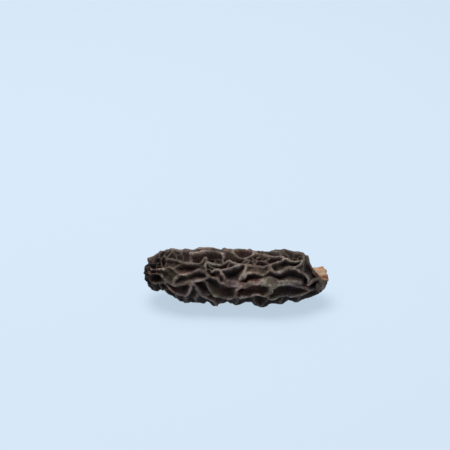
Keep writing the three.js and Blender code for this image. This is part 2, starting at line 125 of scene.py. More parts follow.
FINE_RIDGES = (
    ((0.8, 100), (2, 80), (3.4, 70), (5.1, 69), (6.4, 72)),
    ((5.1, 69), (4.9, 56), (4.9, 45), (4.7, 29)),
    ((7.9, 42), (6.9, 55), (6.4, 71), (6.7, 84), (7.7, 84), (8.7, 71), (8.8, 60), (7.9, 42)),
    ((1.2, 42), (1.8, 36), (2.8, 24)),
    ((2.8, 24), (4.7, 29), (7.2, 21), (7.7, 11), (6.9, 0), (4.7, -8), (2.5, -6), (2.3, 12), (2.8, 24)),
    ((0.9, 0), (1.7, -10), (2.6, -7)),
    ((2.6, -7), (3.4, -30), (4.4, -58)),
    ((6.9, 0), (8.6, -6)),
    ((5.6, -5), (6.6, -22), (7, -40), (7.6, -58)),
    ((7.9, 42), (9.6, 50), (11.7, 54), (12.9, 60), (14, 65), (15.4, 67)),
    ((11.7, 54), (12.6, 47), (14, 41)),
    ((8.7, 71), (9.7, 91), (10.8, 101), (12.1, 88), (12.2, 73)),
    ((12.1, 86), (13.6, 93), (14.8, 84), (14.9, 74), (14.6, 68)),
    ((13.6, 93), (14.4, 106)),
    ((17.6, 106), (17.6, 88), (17.2, 78), (17.5, 63)),
    ((22.9, 77), (25, 76.5), (27, 74), (28.6, 73)),
    ((26, 75), (25.8, 68), (26.2, 62)),
    ((22.7, 52), (24, 51), (24.9, 46.5)),
    ((23.4, 64), (24.2, 57), (25.4, 53), (26.6, 50)),
    ((28.8, 85), (29.4, 94), (29.2, 106)),
    ((35.4, 62.5), (35.9, 71), (37.2, 76), (38.6, 75.5), (39.4, 69.5), (39.9, 63)),
    ((37.2, 76), (36.4, 79)),
    ((36.8, 63), (37.4, 70), (37.6, 75)),
    ((39.6, 68), (40.5, 75), (41.8, 78.5), (43, 77), (44.1, 72), (45, 66)),
    ((38.3, 86), (39.6, 80), (41, 78)),
    ((43, 77), (44, 83), (45.2, 90)),
    ((50.7, 77), (51.9, 79), (52.9, 83), (53.6, 88), (53.9, 96), (53.5, 106)),
    ((48.4, 88.5), (48.8, 97), (48, 106)),
    ((56.9, 74), (57, 62), (56.6, 52), (56.8, 44)),
    ((30.3, 51), (30.6, 58), (31, 66)),
    ((3.4, 70), (4, 84), (5.4, 90), (6.7, 84)),
    ((5.4, 90), (6, 104)),
    ((7.2, 84), (8.2, 98), (9, 110)),
    ((10.8, 101), (10.4, 112)),
    ((19, 108), (19.6, 100), (20, 93)),
    ((23.4, 116), (23.8, 108), (23.4, 101)),
    ((41.2, 104), (41.6, 94), (40.4, 84)),
    ((52.3, 82), (51, 95), (49.2, 106)),
    ((55, 73), (54.6, 86), (55.8, 95), (57, 98)),
    ((7, -40), (8.8, -24), (10.2, -10)),
    ((11.8, -8), (12, -24), (12.8, -38), (13, -58)),
    ((15, -10), (15.4, -22), (15.2, -40), (15.8, -58)),
    ((20.2, 1), (19.6, -10), (18.7, -24), (18.8, -40), (19.6, -58)),
    ((21.8, -8), (23.2, -5), (24.9, 0)),
    ((33, -11), (33.6, -22), (33.4, -36), (33, -58)),
    ((39.2, -5), (39.4, -20), (40.4, -34), (42, -42), (42, -60)),
    ((44.4, -12), (43.6, -28), (42, -42)),
    ((50, -13), (49, -26), (48.6, -40), (49, -60)),
    ((55, -14), (55.4, -28), (55, -42), (55.2, -60)),
)

# Ridges over the blunt tip, seen only from the ends.
TIP_RIDGES = (
    ((0.5, 10), (0.9, 60), (0.55, 110), (0.9, 160), (0.5, 210), (0.9, 265), (0.6, 320), (0.5, 370)),
    ((0.05, 60), (0.35, 75), (0.7, 85)),
    ((0.05, 200), (0.3, 215), (0.5, 210)),
    ((0.9, 60), (1.3, 71)),
    ((0.6, 5), (0.9, 0)),
    ((0.55, 110), (1.2, 106), (2.4, 118), (3.6, 112), (6, 104)),
    ((0.9, 160), (1.6, 156)),
    ((0.5, 210), (1.4, 214)),
    ((0.9, 265), (1.6, 262)),
    ((0.6, 320), (1.6, 316), (2.6, 308), (4.4, 302)),
    ((1.4, 136), (1.9, 148), (1.5, 161), (2, 173), (1.4, 186), (2, 198), (1.4, 211), (2, 224), (1.4, 236),
     (2, 249), (1.4, 261), (2, 282), (1.6, 316)),
    ((2.4, 118), (1.6, 128), (1.4, 136)),
)

# The ridges that the front's loose ends meet, over the top and under the belly.
TOP_RIDGE = (
    (3, 95), (6, 104), (10, 116), (14.4, 106), (17.6, 106), (21, 117), (25, 120), (29.2, 106), (32, 104),
    (36, 119), (39.4, 108), (42.5, 104), (45.2, 117), (48, 106), (50.8, 117), (53.5, 106), (57, 104),
    (58.6, 100),
)
LOW_RIDGE = (
    (2, 302), (5, 302), (6.8, 288), (8.6, 302), (10.8, 286), (13, 302), (15.8, 302), (17.6, 286),
    (19.6, 301), (22.8, 282), (26, 300), (29.8, 278), (33, 302), (37.4, 278), (42, 300), (45.5, 284),
    (49, 300), (52, 285), (55.2, 300), (58, 288), (61, 298),
)

# Rungs from those two to the back's honeycomb: along here, along there.
TOP_RUNGS = ((10, 12), (23, 22), (36, 38), (45.2, 46.5), (50.8, 51))
LOW_RUNGS = (
    (6.8, 6.5), (10.8, 11), (17.6, 17.5), (22.8, 24), (29.8, 29), (37.4, 38), (45.5, 45), (52, 52),
    (58, 57.5),
)

# The back's honeycomb: how far round each of its zigzag ridges lies, and how far along the bends are.
BACK_TURNS = (136, 161, 186, 211, 236, 261)
BACK_BENDS = (1.4, 4.4, 8.5, 13, 17.5, 22, 26.5, 31, 35.5, 40, 44.5, 49, 53.5, 58)

# Pit floors that stand high and pale: along, round, reach in mm, how much higher.
SHALLOWS = (
    (9.8, 34, 2.2, 0.5), (11, 63, 1.3, 0.3), (6.4, 32, 1.1, 0.3), (15.8, 35, 1.5, 0.25),
    (21, 55, 1.8, 0.3), (26.6, 38, 1.6, 0.4), (26.8, 8, 2.4, 0.3), (48.5, 55, 2.4, 0.4),
    (41.5, 55, 2.6, 0.55), (38.6, 55, 1.5, 0.4), (14, -5, 1.4, 0.25), (47.5, -4, 2, 0.2),
    (52.5, -4, 2.4, 0.2), (39.5, 8, 2.2, 0.12), (26.5, 69, 1.6, 0.3), (59.5, 30, 1.3, 0.25),
    (35.4, 88, 1.4, 0.2), (63.8, 6, 1.7, 0.5), (63, -22, 2.8, 0.5),
)

# Holes that go deepest: along, round, reach in mm, how much deeper.
DEEPS = (
    (23.5, 56, 0.7, 0.5), (33.9, 5, 1.1, 0.5), (24.3, -9, 0.7, 0.5), (54.2, 64, 1.3, 0.4),
    (24, 81, 2.2, 0.4), (43.2, 19, 1.2, 0.4), (36.3, 28, 0.8, 0.6), (41.3, 43, 1.1, 0.4),
    (48, 42, 2.4, 0.3), (52.3, 12, 1.6, 0.5), (10.9, -1, 1, 0.5), (15, 8, 1.2, 0.4),
    (9.1, -21, 0.9, 0.5), (61, 39, 0.8, 0.5), (58.1, 66, 1.4, 0.4), (59.9, 9, 2, 0.7),
    (7.6, 64, 1, 0.5), (5, 11, 1.6, 0.5), (31.5, 44, 1.8, 0.3), (24.8, 70, 0.7, 0.5),
    (25, 41, 0.7, 0.5), (20.2, 19, 0.9, 0.4), (22.5, 10, 1, 0.3), (41.2, -12, 1, 0.5),
    (27, -24, 1.2, 0.5), (57.5, 20, 1, 0.4),
)

# Places where the whole skin sinks, or swells if negative: along, round, reach in mm, depth in mm.
DENTS = (
    (29.8, -60, 2.6, 0.8), (37.3, -60, 2.4, 0.8), (45.5, -60, 2.4, 0.4), (10, -50, 1.4, 0.6),
    (7.2, -42, 1.2, 0.5), (8, 118, 1.6, 0.5), (43.6, 120, 1.8, 0.6), (31, 125, 2, 0.5),
    (23, 210, 3, 0.6), (40, 190, 3, 0.6), (15, 160, 3, 0.5), (50, 235, 3, 0.6), (58.6, 106, 0.9, -0.9),
    (16.6, -55, 1.4, 0.5), (23.4, -57, 1.5, -1.2), (27.6, -57, 1.6, 0.9), (32.4, -55, 1, -0.5),
    (45.2, -55, 1.4, -0.8), (51.5, -55, 1.2, -0.8), (62.6, -42, 1.6, -0.8), (8.9, -50, 1.1, 0.6),
    (11.5, -52, 1.3, -0.6),
)


class Stain(Enum):
    """Tints that lie in patches over the flesh, by the name of the mesh attribute that holds each."""

    OLIVE = "olive"
    PLUM = "plum"
    RUST = "rust"


# The seed of each tint's scatter over the rest of the flesh.
STAIN_SEEDS = {Stain.OLIVE: 82, Stain.PLUM: 73, Stain.RUST: 77}

# Where each tint is strongest: along, round, reach in mm, strength.
STAINS = {
    Stain.OLIVE: (
        (9.6, 36, 2.4, 1), (24.5, 22, 1.5, 0.6), (5, 15, 1.5, 0.7), (6, 70, 1.6, 0.7),
        (26.5, 5, 2.4, 0.6), (30.5, 86, 2, 0.6), (35.5, 88, 2, 0.6), (49, 57, 2.4, 0.7),
        (47, -8, 2.6, 0.7), (51, 95, 1.8, 0.6), (54.5, 62, 1.6, 0.7), (12.5, 63, 1.3, 0.6),
        (20.5, 72, 2, 0.6), (43.5, 29, 2.2, 1), (50, 22, 2.2, 0.8), (57, 84, 1.6, 0.6),
        (22, 57, 1.8, 0.25), (14.5, 8, 1.6, 0.5), (64, 2, 2.4, 0.8), (44, 200, 4, 0.6),
        (18, 180, 4, 0.6), (30, 240, 4, 0.5),
    ),
    Stain.PLUM: (
        (31.5, 42, 2.8, 0.8), (47.5, 40, 2.4, 0.8), (52.5, 8, 2, 0.7), (52.5, -4, 2.6, 0.6),
        (33.5, -28, 1.8, 0.8), (27, -24, 1.6, 0.8), (14.8, -35, 1.8, 0.7), (1.2, 20, 1.6, 0.7),
        (3.5, 84, 1.6, 0.6), (41, 54, 2.4, 0.4), (30, 150, 4, 0.6), (50, 170, 4, 0.6),
        (12, 230, 4, 0.6),
    ),
    Stain.RUST: (
        (34.2, 5, 1.8, 0.8), (41, 12, 3, 0.7), (30, 8, 2, 0.6), (28.5, 56, 1.8, 0.6),
        (61.3, 38, 1.4, 0.8), (63, 0, 3, 0.7), (39.5, 37, 2.6, 0.6), (36.3, 28, 1.2, 0.8),
        (15.5, 55, 2, 0.5), (22, 12, 2, 0.5), (8, 64, 1.3, 0.6), (33, 20, 2.4, 0.3), (3.5, 42, 2, 0.7),
        (11, -3, 1.6, 0.5), (13, -36, 2, 0.6), (22, 150, 4, 0.6), (38, 220, 4, 0.6),
    ),
}

# Places where the flesh is paler or darker than its height makes it: some are its own tone and spots,
# others are painted shade over the tip, along the top, in some deep pits and on the low side by the stem;
# along, round, reach in mm, change.
TONE_AND_PAINTED_SHADE = (
    (2, 30, 4, -0.2), (5, -5, 4, 0.15), (3, 85, 4, -0.2), (50, 108, 5, -0.3), (12, 102, 5, -0.2),
    (46, 24, 4, 0.12), (52, 20, 3, 0.1), (33, 21, 3, 0.08), (50.4, 77, 0.9, 0.5), (57, 76, 2, 0.2),
    (60, 9, 1.7, -0.5), (63.5, 5, 1.8, 0.15), (61, -30, 4, -0.35), (66, 44, 1.1, -0.6),
    (62.5, 80, 1.5, 0.15), (13.5, -4, 2, 0.1), (1, 20, 2.4, -0.25), (41, 55, 2.6, 0.05),
    (25.5, 78, 3, -0.6), (41, 11, 3, 1.1), (9.8, 34, 2.4, 0.35), (4.5, -18, 3, 0.35),
    (44.5, 83, 2.5, 0.45), (40, 53, 2.8, 0.55), (44.7, 8, 1.4, -0.35), (43, 30, 2.4, 0.22),
)


def smooth(value: np.ndarray) -> np.ndarray:
    """Eases from 0 to 1 as value goes from 0 to 1."""
    held = np.clip(value, 0.0, 1.0)
    return held * held * (3.0 - 2.0 * held)


def on_circle(round_: np.ndarray, radius: float) -> np.ndarray:
    """Places round a circle across the mushroom, one row each, in mm."""
    turn = np.radians(round_)
    return radius * np.stack([0.0 * turn, np.cos(turn), np.sin(turn)], axis=1)


def read_table(table: np.ndarray, at: np.ndarray, column: int) -> np.ndarray:
    """Smooth values of one column of a table whose first column rises.

    Args:
        table: rows of numbers, at least two.
        at: where to read, in the first column's unit.
        column: which column to read.

    Returns:
        One value for each place in at.
    """
    knots = table[:, 0]
    values = table[:, column]
    slopes = np.empty_like(values, dtype=float)
    slopes[1:-1] = (values[2:] - values[:-2]) / (knots[2:] - knots[:-2])
    slopes[0] = (values[1] - values[0]) / (knots[1] - knots[0])
    slopes[-1] = (values[-1] - values[-2]) / (knots[-1] - knots[-2])
    index = np.clip(np.searchsorted(knots, at, side="right") - 1, 0, len(knots) - 2)
    span = knots[index + 1] - knots[index]
    share = np.clip((at - knots[index]) / span, 0.0, 1.0)
    squared = share * share
    cubed = squared * share
    return (
        values[index] * (2 * cubed - 3 * squared + 1)
        + values[index + 1] * (3 * squared - 2 * cubed)
        + span * slopes[index] * (cubed - 2 * squared + share)
        + span * slopes[index + 1] * (cubed - squared)
    )


@dataclass(frozen=True)
class Fade:
    """A change along the mushroom that starts at one place and is done a run later, both in mm."""

    start: float
    run: float

    def at(self, along: np.ndarray) -> np.ndarray:
        """How far the change has gone at each place, from 0 to 1."""
        return smooth((along - self.start) / self.run)


class Grain:
    """Seeded smooth noise in space, between about -1 and 1."""

    CELLS = 32
    LAYER_SHIFT = 7.3

    def __init__(self, seed: int) -> None:
        """Draws the noise's lattice from the seed."""
        self.lattice = np.random.default_rng(seed).uniform(-1.0, 1.0, (self.CELLS,) * 3)

    def at(self, points: np.ndarray, size: float) -> np.ndarray:
        """Reads the noise.

        Args:
            points: places in mm, one row each.
            size: how wide one lump is, in mm.

        Returns:
            One value for each place.
        """
        scaled = points / size
        base = np.floor(scaled).astype(int)
        share = smooth(scaled - base)
        total = np.zeros(len(points))
        for corner in range(8):
            step = np.array([(corner >> axis) & 1 for axis in range(3)])
            weight = np.prod(np.where(step == 1, share, 1.0 - share), axis=1)
            cell = (base + step) % self.CELLS
            total += weight * self.lattice[cell[:, 0], cell[:, 1], cell[:, 2]]
        return total

    def layered(self, points: np.ndarray, size: float, layers: int) -> np.ndarray:
        """Adds finer and fainter layers of the noise.

        Args:
            points: places in mm, one row each.
            size: how wide the coarsest lump is, in mm.
            layers: how many layers, each half as wide and strong as the last.

        Returns:
            One value for each place.
        """
        total = np.zeros(len(points))
        for layer in range(layers):
            shifted = points + self.LAYER_SHIFT * layer
            total += self.at(shifted, size / 2**layer) / 2**layer
        return total


@dataclass(frozen=True)
class Lumps:
    """One kind of unevenness: its seed, how wide its lumps are in mm, its strength and its layers."""

    seed: int
    size: float
    strength: float = 1.0
    layers: int = 1

    def at(self, points: np.ndarray) -> np.ndarray:
        """The unevenness at each place in mm, one row each."""
        return self.strength * Grain(self.seed).layered(points, self.size, self.layers)


@dataclass
class Outline:
    """The smooth oval skin that the ridge crests touch."""

    width_factor: float = 1.13
    height_factor: float = 0.95
    stem_radius: float = 4.0
    stem_step: float = 1.0
    cap_back_end: float = 58.2
    lobe_reach: float = 6.9
    lobe_fall: float = 1.6
    lobe_turn: float = 25.0
    lip_reach: float = 2.3
    lip_turn: float = 15.0
    lip_half: float = 37.0
    lip_ease: float = 10.0
    cap_furthest: float = 65.4

    def cap_end(self, round_: np.ndarray) -> np.ndarray:
        """Where the cap ends: furthest along on the low front, where a lobe wraps the stem.

        Args:
            round_: degrees round the cap.

        Returns:
            How far along the cap's edge is at each of them, in mm.
        """
        near_lobe = 0.5 + 0.5 * np.cos(np.radians(round_ + self.lobe_turn))
        off_lip = np.abs((round_ + self.lip_turn + 180.0) % 360.0 - 180.0)
        lip = self.lip_reach * smooth((self.lip_half - off_lip) / self.lip_ease)
        lobe = self.lobe_reach * near_lobe**self.lobe_fall
        return np.minimum(self.cap_back_end + lobe + lip, self.cap_furthest)

    def stem_share(self, along: np.ndarray, round_: np.ndarray) -> np.ndarray:
        """0 on the cap, 1 on the stem."""
        return smooth((along - self.cap_end(round_)) / self.stem_step)

    def middle(self, along: np.ndarray) -> np.ndarray:
        """The middle of each section, one row each, in mm."""
        return np.stack([along, read_table(SECTIONS, along, 2), read_table(SECTIONS, along, 3)], axis=1)

    def offset(self, radius: np.ndarray, round_: np.ndarray, roundness: np.ndarray) -> np.ndarray:
        """From the middle of a section out to its wall.

        Args:
            radius: mean radius in mm.
            round_: degrees round the section.
            roundness: 0 for the cap's oval, 1 for the stem's circle.

        Returns:
            One row for each spot, in mm.
        """
        wide = self.width_factor + (1.0 - self.width_factor) * roundness
        high = self.height_factor + (1.0 - self.height_factor) * roundness
        angle = np.radians(round_)
        return np.stack([0 * radius, -radius * wide * np.cos(angle), radius * high * np.sin(angle)], axis=1)

    def crest(self, along: np.ndarray, round_: np.ndarray) -> np.ndarray:
        """Spots on the skin over the ridge crests.

        Args:
            along: how far along each spot is, in mm.
            round_: how far round it is, in degrees.

        Returns:
            One row for each spot, in mm.
        """
        cap = np.maximum(read_table(SECTIONS, along, 1), 0.0)
        stem = self.stem_share(along, round_)
        radius = cap * (1.0 - stem) + np.minimum(cap, self.stem_radius) * stem
        return self.middle(along) + self.offset(radius, round_, stem)


class RidgeKind(Enum):
    """Kinds of ridge: height of the crest as a share of the pit's depth, and half its width in mm."""

    BROAD = (0.94, 0.78)
    MAIN = (1.0, 0.27)
    FINE = (0.86, 0.16)


@dataclass
class Ridge:
    """One ridge, as close spots along its crest."""

    kind: RidgeKind
    spots: np.ndarray
    travel: np.ndarray


@dataclass
class RidgeNetwork:
    """All ridges of the cap, and the pitted relief between them."""

    outline: Outline
    bowl_run: float = 2.9
    bowl_power: float = 3.0
    crest_round: float = 0.16
    reach: float = 3.8
    mm_per_degree: float = 0.18
    spot_gap: float = 0.12
    fewest_spots: int = 8
    travel_gap: float = 31.7
    margin_step: float = 12.0
    margin_back: float = 0.7
    back_swing: float = 7.0
    back_stray: tuple = (7.1, 3.3, 9.7)
    stray_turn: float = 3.0
    stray_along: float = 1.2
    ridges: list[Ridge] = field(default_factory=list)

    def build(self) -> None:
        """Lays out every ridge."""
        for paths, kind in (
            (BROAD_RIDGES, RidgeKind.BROAD),
            (MAIN_RIDGES, RidgeKind.MAIN),
            (FINE_RIDGES, RidgeKind.FINE),
            (TIP_RIDGES, RidgeKind.FINE),
        ):
            for path in paths:
                self.add(path, kind)
        back = [self.zigzag(row) for row in range(len(BACK_TURNS))]
        for path in (TOP_RIDGE, LOW_RIDGE, *back):
            self.add(path, RidgeKind.MAIN)
        self.add_rungs(TOP_RIDGE, back[0], TOP_RUNGS)
        self.add_rungs(LOW_RIDGE, back[-1], LOW_RUNGS)
        for row in range(len(back) - 1):
            rungs = tuple((along, along) for along in BACK_BENDS[row % 2 :: 2])
            self.add_rungs(back[row], back[row + 1], rungs)
        turns = np.arange(0.0, 361.0, self.margin_step)
        margin = tuple(zip(self.outline.cap_end(turns) - self.margin_back, turns))
        self.add(margin, RidgeKind.FINE)

    def zigzag(self, row: int) -> tuple:
        """One ridge of the back's honeycomb, bent towards each of its neighbours by turns.

        Args:
            row: which of BACK_TURNS it follows.

        Returns:
            Its spots, each as along and round.
        """
        by_row, by_place, by_turn = self.back_stray
        path = []
        for place, along in enumerate(BACK_BENDS):
            side = -1 if (row + place) % 2 else 1
            stray = math.sin(by_row * row + by_place * place)
            turn = BACK_TURNS[row] + self.back_swing * side + self.stray_turn * math.sin(by_turn * stray)
            path.append((along + self.stray_along * stray, turn))
        return tuple(path)

    def add_rungs(self, here: tuple, there: tuple, rungs: tuple) -> None:
        """Joins two long ridges with short fine ones.

        Args:
            here: the spots of one long ridge.
            there: the spots of the other.
            rungs: how far along each rung starts on the one and ends on the other.
        """
        for start, end in rungs:
            ends = (
                (start, float(read_table(np.array(here, float), np.array([start]), 1)[0])),
                (end, float(read_table(np.array(there, float), np.array([end]), 1)[0])),
            )
            self.add(ends, RidgeKind.FINE)

    def add(self, path: tuple, kind: RidgeKind) -> None:
        """Joins a path's spots with a smooth curve and keeps it as a ridge.

        Args:
            path: the spots, each as along and round.
            kind: how high and wide the ridge is.
        """
        corners = np.array(path, float)
        gaps = np.linalg.norm(np.diff(corners * (1.0, self.mm_per_degree), axis=0), axis=1)
        place = np.concatenate([[0.0], np.cumsum(np.sqrt(np.maximum(gaps, 1e-6)))])
        table = np.column_stack([place, corners])
        at = np.linspace(0.0, place[-1], max(int(gaps.sum() / self.spot_gap), self.fewest_spots))
        spots = self.outline.crest(read_table(table, at, 1), read_table(table, at, 2))
        steps = np.linalg.norm(np.diff(spots, axis=0), axis=1)
        travel = np.concatenate([[0.0], np.cumsum(steps)]) + self.travel_gap * len(self.ridges)
        self.ridges.append(Ridge(kind, spots, travel))

    def relief(
        self, points: np.ndarray, jog: np.ndarray, stretch: np.ndarray
    ) -> tuple[np.ndarray, np.ndarray]:
        """How high the flesh stands at each point.

        Args:
            points: spots on the smooth skin, one row each, in mm.
            jog: how much further off each point counts as being from any crest line, in mm.
            stretch: how many times further off each point counts as being, more where ridges are slender.

        Returns:
            The height, 1 on a crest and 0 on a pit floor, and a travel along the nearest ridge in mm.
        """
        height = np.zeros(len(points))
        travel = np.zeros(len(points))
        for ridge in self.ridges:
            low = ridge.spots.min(axis=0) - self.reach
            high = ridge.spots.max(axis=0) + self.reach
            near = np.flatnonzero(np.all((points > low) & (points < high), axis=1))
            if len(near) == 0:
                continue
            gaps = points[near][:, None, :] - ridge.spots[None, :, :]
            squared = np.einsum("ijk,ijk->ij", gaps, gaps)
            closest = squared.argmin(axis=1)
            distance = np.sqrt(squared[np.arange(len(near)), closest]) * stretch[near] + jog[near]
            here = self.profile(distance, ridge.kind)
            better = here > height[near]
            chosen = near[better]
            height[chosen] = here[better]
            travel[chosen] = ridge.travel[closest[better]]
        return height, travel

    def profile(self, distance: np.ndarray, kind: RidgeKind) -> np.ndarray:
        """Height of the flesh beside a crest line: a thin rounded crest over a bowl.

        Args:
            distance: how far off the crest line each place is, in mm.
            kind: which kind of ridge it is.

        Returns:
            The height of each place, up to 1.
        """
        top, half_width = kind.value
        beyond = np.maximum(distance - half_width, 0.0)
        rounded = np.sqrt(beyond**2 + self.crest_round**2) - self.crest_round
        rise = np.clip(1.0 - rounded / self.bowl_run, 0.0, 1.0)
        return top * rise**self.bowl_power


@dataclass(frozen=True)
class Texture:
    """A fine noise in the flesh: lumps to a metre, finer layers, and how far off it is read, in metres."""

    scale: float
    detail: float
    shift: float = 0.0


@dataclass
class Painter:
    """Lays out the nodes of one material or surround."""

    tree: bpy.types.NodeTree

    def node(self, kind: str, **options: object) -> bpy.types.Node:
        """Adds a node.

        Args:
            kind: which node it is.
            options: its settings, by name.

        Returns:
            The new node.
        """
        made = self.tree.nodes.new(kind)
        for name, option in options.items():
            setattr(made, name, option)
        return made

    def feed(self, node: bpy.types.Node, slot: int | str, source: Socket | float | tuple) -> None:
        """Gives a node one of its inputs.

        Args:
            node: the node.
            slot: which of its inputs.
            source: another node's output to link, or a number or colour to set.
        """
        if isinstance(source, bpy.types.NodeSocket):
            self.tree.links.new(source, node.inputs[slot])
        elif isinstance(source, tuple) and len(source) == 3 and len(node.inputs[slot].default_value) == 4:
            node.inputs[slot].default_value = (*source, 1.0)
        else:
            node.inputs[slot].default_value = source

    def attribute(self, name: str) -> Socket:
        """The value of one of the mesh's attributes."""
        return self.node("ShaderNodeAttribute", attribute_name=name).outputs["Fac"]

    def noise(self, texture: Texture) -> Socket:
        """A noise in the object's own space.

        Args:
            texture: how coarse it is and where it is read.

        Returns:
            Its value, from 0 to 1.
        """
        place = self.node("ShaderNodeTexCoord")
        shifted = self.node("ShaderNodeVectorMath", operation="ADD")
        self.feed(shifted, 0, place.outputs["Object"])
        self.feed(shifted, 1, (texture.shift, texture.shift * 0.7, texture.shift * 1.3))
        made = self.node("ShaderNodeTexNoise")
        self.feed(made, "Vector", shifted.outputs["Vector"])
        self.feed(made, "Scale", texture.scale)
        self.feed(made, "Detail", texture.detail)
        return made.outputs["Fac"]

    def remap(self, value: Socket, given: tuple, wanted: tuple, easing: str = "LINEAR") -> Socket:
        """Takes one range of values to another, held at both ends.

        Args:
            value: the value to change.
            given: the lowest and highest value that count.
            wanted: what those two become.
            easing: how it goes from the one to the other.

        Returns:
            The new value.
        """
        made = self.node("ShaderNodeMapRange", interpolation_type=easing)
        self.feed(made, 0, value)
        for slot, number in enumerate((*given, *wanted), start=1):
            self.feed(made, slot, number)
        return made.outputs["Result"]

    def summed(self, first: Socket, second: Socket) -> Socket:
        """One value plus another.

        Args:
            first: the one value.
            second: the other.

        Returns:
            Their sum.
        """
        made = self.node("ShaderNodeMath", operation="ADD")
        self.feed(made, 0, first)
        self.feed(made, 1, second)
        return made.outputs["Value"]

    def mixed(
        self, base: Socket | tuple, other: Socket | tuple, amount: Socket, way: str = "MIX"
    ) -> Socket:
        """One colour mixed with another.

        Args:
            base: the colour where amount is 0.
            other: the colour to mix in.
            amount: how much of it, from 0 to 1.
            way: how the two are mixed.

        Returns:
            The mixed colour.
        """
        made = self.node("ShaderNodeMix", data_type="RGBA", blend_type=way)
        self.feed(made, "Factor", amount)
        self.feed(made, 6, base)
        self.feed(made, 7, other)
        return made.outputs[2]

    def shaded(self, base: Socket, amount: Socket) -> Socket:
        """A colour made lighter or darker.

        Args:
            base: the colour.
            amount: how many times lighter it becomes.

        Returns:
            The new colour.
        """
        made = self.node("ShaderNodeVectorMath", operation="SCALE")
        self.feed(made, 0, base)
        self.feed(made, "Scale", amount)
        return made.outputs["Vector"]

    def ramp(self, value: Socket, stops: tuple) -> Socket:
        """A colour that runs through several as a value rises.

        Args:
            value: the value, from 0 to 1.
            stops: the value and the colour of each stop, lowest first.

        Returns:
            The colour.
        """
        made = self.node("ShaderNodeValToRGB")
        while len(made.color_ramp.elements) < len(stops):
            made.color_ramp.elements.new(0.5)
        for element, (place, colour) in zip(made.color_ramp.elements, stops):
            element.position = place
            element.color = (*colour, 1.0)
        self.feed(made, "Fac", value)
        return made.outputs["Color"]

    def bump(self, height: Socket, depth: float, strength: float) -> bpy.types.Node:
        """Fine relief.

        Args:
            height: how high each place stands, from 0 to 1.
            depth: what 1 stands for, in metres.
            strength: how strongly it shows.

        Returns:
            The node, whose Normal input takes the relief underneath.
        """
        made = self.node("ShaderNodeBump")
        self.feed(made, "Strength", strength)
        self.feed(made, "Distance", depth)
        self.feed(made, "Height", height)
        return made


